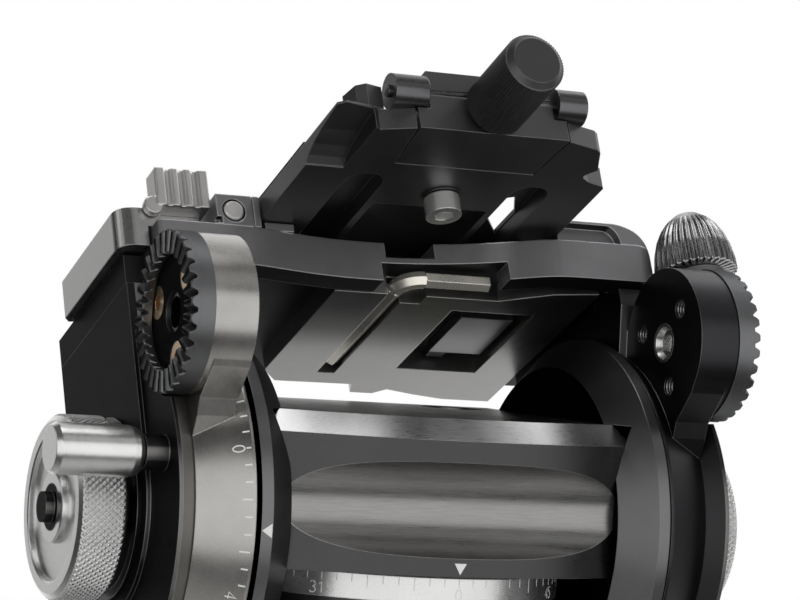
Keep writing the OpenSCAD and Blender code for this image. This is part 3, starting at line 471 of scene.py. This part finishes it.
def pan_scale():
    """Five degree marks and plain numbers on the scale ring."""
    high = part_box("pan_scale_ring")[1]
    radius = high.x / MM
    top_z = high.z / MM - 0.5

    def place(u, v, h):
        a = u / radius
        r = radius + h
        return Vector((r * math.sin(a), -r * math.cos(a), top_z + v)) * MM

    marks = Marks(place)
    step = math.tau * radius / 360
    for degree in range(0, 360, 5):
        labelled = degree % 45 == 0
        length = 3.6 if degree % 15 == 0 and not labelled else 2.2
        marks.stroke([(degree * step, 0.0), (degree * step, -length)], 0.26)
        if labelled:
            marks.number(str(degree), degree * step, -5.7, 2.9, 0.28)
    marks.finish("pan_scale_marks", "base")


def drum_scale():
    """Five degree marks and plain numbers round the left drum's taper, figures' tops towards the body."""
    lean = math.atan(DRUM_FALL)

    def place(u, v, h):
        a = math.radians(DRUM_ZERO) + u / DRUM_R
        r = DRUM_R - 0.1 + v * math.sin(lean) + h * math.cos(lean)
        x = -DRUM_EDGE + v * math.cos(lean) - h * math.sin(lean)
        return on_platform(x, r * math.cos(a), -r * math.sin(a))

    marks = Marks(place)
    step = math.tau * DRUM_R / 360
    for degree in range(-90, 95, 5):
        length = 2.7 if degree % 15 == 0 else 1.8
        labelled = degree % 45 == 0
        marks.stroke([(degree * step, 0.0), (degree * step, -1.2 if labelled else -length)], 0.42)
        if labelled:
            marks.number(str(abs(degree)), degree * step, -4.6, 3.0, 0.34)
    marks.finish("tilt_scale_marks", "platform")


def index_marks():
    """White pointers on the body's lower front edge and on the left side disc."""
    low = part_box("body_housing")[0]
    bulge = 115
    front_y = low.y / MM
    foot_z = low.z / MM

    def on_front(u, v, h):
        return Vector((u, front_y - h + u * u / (2 * bulge), foot_z + v)) * MM

    marks = Marks(on_front)
    marks.wedge((-1.9, 0.6), (-3.6, 3.5), (-0.2, 3.5))
    marks.finish("pan_pointer", "pan_body")

    disc_low, disc_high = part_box("left_side_disc")
    disc_r = (disc_high.z - TILT_AXIS.z) / MM
    edge_x = disc_low.x / MM

    def on_disc(u, v, h):
        a = u / disc_r
        r = disc_r + h
        return TILT_AXIS + Vector((edge_x + v, -r * math.cos(a), r * math.sin(a))) * MM

    marks = Marks(on_disc)
    marks.wedge((0, 0.2), (-1.8, 2.9), (1.8, 2.9))
    marks.finish("tilt_pointer", "pan_body")


def skin(count, n):
    """Faces of a closed ring of count sections with n points in each."""
    return [(i * n + k, (i + 1) % count * n + k, (i + 1) % count * n + (k + 1) % n, i * n + (k + 1) % n)
            for i in range(count) for k in range(n)]


def triangle_wave(x):
    """0 at whole numbers and 1 halfway between them."""
    return 1 - abs(2 * (x % 1) - 1)


def knurled_dial(name, node, body, s):
    """Silver side dial with a diamond knurl, turned edges and a sunk ring in its outer face."""
    low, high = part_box(node)
    inner = min(abs(low.x), abs(high.x)) / MM
    width = (high.x - low.x) / MM
    radius = (high.y - low.y) / 2 / MM
    around, fine, rows = 84, 6, 6
    depth = 0.6
    chamfer = 0.8
    axis = ACROSS * s
    center = TILT_AXIS + axis * inner * MM
    n_along = rows * fine
    before = [(radius - 17.9, 0), (radius - 1.4, 0)]
    after = [(radius - 1.8, width), (radius - 4.6, width), (radius - 5.0, width - 0.3),
             (radius - 5.2, width - 1.6), (radius - 14.6, width - 1.6), (radius - 14.9, width - 0.3),
             (radius - 15.2, width), (radius - 17.9, width)]
    points = []
    count = around * fine
    for i in range(count):
        knurl = []
        for k in range(n_along + 1):
            u, v = i / fine, k / fine
            rise = min(triangle_wave(u + v), triangle_wave(u - v))
            taper = min(1.0, k / 2, (n_along - k) / 2)
            knurl.append((radius - depth + depth * min(rise * 1.9, 1.0) * taper,
                          chamfer + (width - 2 * chamfer) * k / n_along))
        a = i * math.tau / count
        out = NORMAL * math.cos(a) + axis.cross(NORMAL) * math.sin(a)
        points += [center + (out * r + axis * h) * MM for r, h in before + knurl + after]
    faces = skin(count, len(before) + n_along + 1 + len(after))
    dial = piece(name, points, faces, "silver", body, smooth=False)
    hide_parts(node)


def rosette_teeth(name, s):
    """Ring of fat radial teeth over the rosette's face."""
    teeth, fine = 30, 8
    outer, inner = 20.5, 14.6
    low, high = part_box("left_rosette" if s < 0 else "right_rosette")
    face = max(abs(low.x), abs(high.x)) / MM
    center = on_platform(s * face, LUG_F, LUG_N)
    axis = ACROSS * s
    across = NORMAL
    other = axis.cross(across)
    points = []
    count = teeth * fine
    for i in range(count):
        a = i * math.tau / count
        out = across * math.cos(a) + other * math.sin(a)
        gap = abs((i / fine + 0.5) % 1 - 0.5) * 2
        drop = max(0.0, min(1.0, (gap - 0.42) / 0.5))
        ring = [(outer, -2.6), (outer, -2.1 * drop - 0.3), (outer - 0.35, -2.1 * drop + 0.05),
                (inner + 0.3, -1.75 * drop + 0.05), (inner, -1.75 * drop - 0.3), (inner, -2.6)]
        points += [center + (out * r + axis * h) * MM for r, h in ring]
    ring = piece(name, points, skin(count, 6), "teeth", "platform", smooth=False)


def lug_threads():
    """Thread turns in the open ends of the right lug's three screw holes."""
    pitch, turns, count = 0.8, 6, 40
    first = 0.7
    outer, inner = 2.56, 2.12
    points, faces = [], []
    for a in (6, 126, 246):
        theta = math.radians(a)
        f = LUG_F - LUG_SCREWS * math.sin(theta)
        n = LUG_N - LUG_SCREWS * math.cos(theta)
        center = on_platform(LUG_FACE, f, n)
        for turn in range(turns):
            depth = first + pitch * turn
            base = len(points)
            for i in range(count):
                b = i * math.tau / count
                out = FRONT * math.cos(b) + NORMAL * math.sin(b)
                points += [center + (out * r + ACROSS * (depth + h)) * MM
                           for r, h in ((outer, -0.3), (outer, 0.3), (inner, 0.05), (inner, -0.05))]
            faces += [tuple(base + j for j in face) for face in skin(count, 4)]
    threads = piece("lug_threads", points, faces, "steel", "platform")


# Radius of the plate clamp knob, the height of its foot above the tilt axis, its own height, and its
# outline as pairs of a radius and a share of that height
CLAMP_R = 11.4
CLAMP_FOOT = 58.0
CLAMP_RISE = 19.0
CLAMP_DOME = [(CLAMP_R, 0.0), (CLAMP_R, 0.18), (10.8, 0.38), (9.6, 0.58), (8.2, 0.72), (6.4, 0.84),
              (3.8, 0.95), (1.8, 1.0)]


def clamp_knob():
    """Domed plate clamp knob with flutes that run up over its shoulder."""
    flutes, fine = 34, 8
    groove_depth = 1.0
    center = Vector(joints["clamp_knob_turn"]["pos_m"])
    center += NORMAL * (CLAMP_FOOT * MM - (center - TILT_AXIS).dot(NORMAL))
    count = flutes * fine
    rows = []
    for (r0, h0), (r1, h1) in zip(CLAMP_DOME, CLAMP_DOME[1:]):
        rows += [(r0 + (r1 - r0) * k / 4, h0 + (h1 - h0) * k / 4) for k in range(4)]
    rows.append(CLAMP_DOME[-1])
    points = [center]
    for r, h in rows:
        depth = groove_depth * min(1.0, (1.0 - h) / 0.06, (h + 0.02) / 0.02)
        for i in range(count):
            a = i * math.tau / count
            cut = depth * abs(math.sin(a * flutes / 2)) * r / CLAMP_R
            out = ACROSS * math.cos(a) + FRONT * math.sin(a)
            points.append(center + (out * (r - cut) + NORMAL * h * CLAMP_RISE) * MM)
    points.append(center + NORMAL * CLAMP_RISE * MM)
    last = len(points) - 1
    top = 1 + (len(rows) - 1) * count
    faces = [(0, 1 + i, 1 + (i + 1) % count) for i in range(count)]
    faces += [(last, top + (i + 1) % count, top + i) for i in range(count)]
    for k in range(len(rows) - 1):
        a = 1 + k * count
        for i in range(count):
            j = (i + 1) % count
            faces.append((a + i, a + count + i, a + count + j, a + j))
    knob = piece("plate_clamp_knob_fluted", points, faces, "clamp", "clamp_knob")
    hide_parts("plate_clamp_knob")


pan_scale()
drum_scale()
index_marks()
knurled_dial("tilt_drag_dial_knurled", "tilt_drag_dial", "drag_dial", -1)
knurled_dial("balance_dial_knurled", "balance_dial", "spring_dial", 1)
rosette_teeth("left_rosette_teeth", -1)
rosette_teeth("right_rosette_teeth", 1)
lug_threads()
clamp_knob()

# Softened edges of the lever's grip
cells = nodes["lever_grip"].modifiers.new("cells", "REMESH")
cells.mode = "VOXEL"
cells.voxel_size = 0.22 * MM
cells.use_smooth_shade = True
rounding = nodes["lever_grip"].modifiers.new("rounding", "SMOOTH")
rounding.factor = 0.5
rounding.iterations = 12


# Camera at the photograph's place

VIEW_AZIMUTH = math.radians(24.46)
VIEW_ROLL = math.radians(3.85)
VIEW_DISTANCE = 833 * MM
VIEW_TARGET = Vector((-1.05, 0, 136.1)) * MM
LENS = 139.5

camera = bpy.data.objects.new("camera", bpy.data.cameras.new("camera"))
bpy.context.scene.collection.objects.link(camera)
camera.data.sensor_width = 36
camera.data.lens = LENS
camera.data.clip_start = 0.01
ahead = Vector((math.sin(VIEW_AZIMUTH), math.cos(VIEW_AZIMUTH), 0))
side = ahead.cross(UP)
right = side * math.cos(VIEW_ROLL) + UP * math.sin(VIEW_ROLL)
top = UP * math.cos(VIEW_ROLL) - side * math.sin(VIEW_ROLL)
turn = Matrix((right, top, -ahead)).transposed()
camera.matrix_world = Matrix.Translation(VIEW_TARGET - ahead * VIEW_DISTANCE) @ turn.to_4x4()
bpy.context.scene.camera = camera


# Floor, world and softboxes

def make_floor():
    """Pale floor that thins out into the white backdrop."""
    rim = 96
    radius, solid, drop = 0.22, 0.09, 0.0002
    mesh = bpy.data.meshes.new("floor")
    points = [(radius * math.cos(i * math.tau / rim), radius * math.sin(i * math.tau / rim), -drop)
              for i in range(rim)]
    mesh.from_pydata(points, [], [list(range(rim))])
    floor = bpy.data.objects.new("floor", mesh)
    bpy.context.scene.collection.objects.link(floor)
    s = Shader("pale_floor")
    grain = s.noise(4, 3.0)
    tone = s.mix(s.spread(grain, 0, 1), (0.70, 0.70, 0.695, 1), (0.74, 0.74, 0.735, 1))
    s.put(s.bsdf.inputs["Base Color"], tone)
    s.bsdf.inputs["Roughness"].default_value = 0.6
    out = s.add("VectorMath", {0: s.place}, operation="LENGTH").outputs["Value"]
    fade = s.add("MapRange", {"Value": out, "From Min": solid, "From Max": radius - 0.005,
                              "To Min": 1.0, "To Max": 0.0}, interpolation_type="SMOOTHSTEP")
    s.put(s.bsdf.inputs["Alpha"], fade.outputs[0])
    mesh.materials.append(s.material)


# Direction of the middle of the backdrop
BACKDROP = (0.6, 0.8, 0)


def make_world():
    """White to the camera; reflections see a white backdrop behind and a dimmer room in front."""
    world = bpy.data.worlds.new("studio")
    world.use_nodes = True
    tree = world.node_tree
    tree.nodes.clear()
    out = tree.nodes.new("ShaderNodeOutputWorld")
    path = tree.nodes.new("ShaderNodeLightPath")
    coords = tree.nodes.new("ShaderNodeTexCoord")
    behind = tree.nodes.new("ShaderNodeVectorMath")
    behind.operation = "DOT_PRODUCT"
    behind.inputs[1].default_value = BACKDROP
    tree.links.new(coords.outputs["Generated"], behind.inputs[0])
    ramp = tree.nodes.new("ShaderNodeMapRange")
    ramp.inputs["From Min"].default_value = 0.35
    ramp.inputs["From Max"].default_value = 0.7
    ramp.inputs["To Min"].default_value = 0.04
    ramp.inputs["To Max"].default_value = 1.0
    tree.links.new(behind.outputs["Value"], ramp.inputs["Value"])

    def background(strength):
        node = tree.nodes.new("ShaderNodeBackground")
        node.inputs["Color"].default_value = (1, 1, 1, 1)
        if isinstance(strength, float):
            node.inputs["Strength"].default_value = strength
        else:
            tree.links.new(strength, node.inputs["Strength"])
        return node.outputs[0]

    def choose(factor, a, b):
        node = tree.nodes.new("ShaderNodeMixShader")
        tree.links.new(factor, node.inputs[0])
        tree.links.new(a, node.inputs[1])
        tree.links.new(b, node.inputs[2])
        return node.outputs[0]

    shiny = tree.nodes.new("ShaderNodeMath")
    shiny.operation = "MAXIMUM"
    tree.links.new(path.outputs["Is Glossy Ray"], shiny.inputs[0])
    tree.links.new(path.outputs["Is Transmission Ray"], shiny.inputs[1])
    room = choose(shiny.outputs[0], background(0.35), background(ramp.outputs[0]))
    tree.links.new(choose(path.outputs["Is Camera Ray"], room, background(1.0)), out.inputs[0])
    bpy.context.scene.world = world


# Point that the softboxes aim at
AIM = Vector((0, 0, 0.12))


def softbox(name, azimuth, elevation, distance, width, height, radiance):
    """Area light seen from the object at this direction; azimuth 0 is the front, + to the right."""
    light = bpy.data.lights.new(name, "AREA")
    light.shape = "RECTANGLE"
    light.size = width
    light.size_y = height
    light.energy = radiance * math.pi * width * height
    lamp = bpy.data.objects.new(name, light)
    a = math.radians(azimuth)
    e = math.radians(elevation)
    away = Vector((math.sin(a) * math.cos(e), -math.cos(a) * math.cos(e), math.sin(e)))
    lamp.location = AIM + away * distance
    lamp.rotation_euler = away.to_track_quat("Z", "Y").to_euler()
    bpy.context.scene.collection.objects.link(lamp)


make_floor()
make_world()
softbox("front_left", -36, 6, 1.9, 2.1, 1.9, 1.0)
softbox("front_right", 24, 6, 1.7, 2.2, 1.7, 1.0)
softbox("high_key", 42, 50, 1.5, 1.4, 0.5, 0.4)
softbox("overhead", 0, 89, 1.4, 0.7, 0.7, 2.8)
softbox("right_fill", 108, 42, 1.5, 0.9, 0.8, 1.5)
softbox("left_fill", -100, 30, 1.6, 0.8, 0.9, 0.8)

bpy.context.scene.view_settings.view_transform = "Standard"
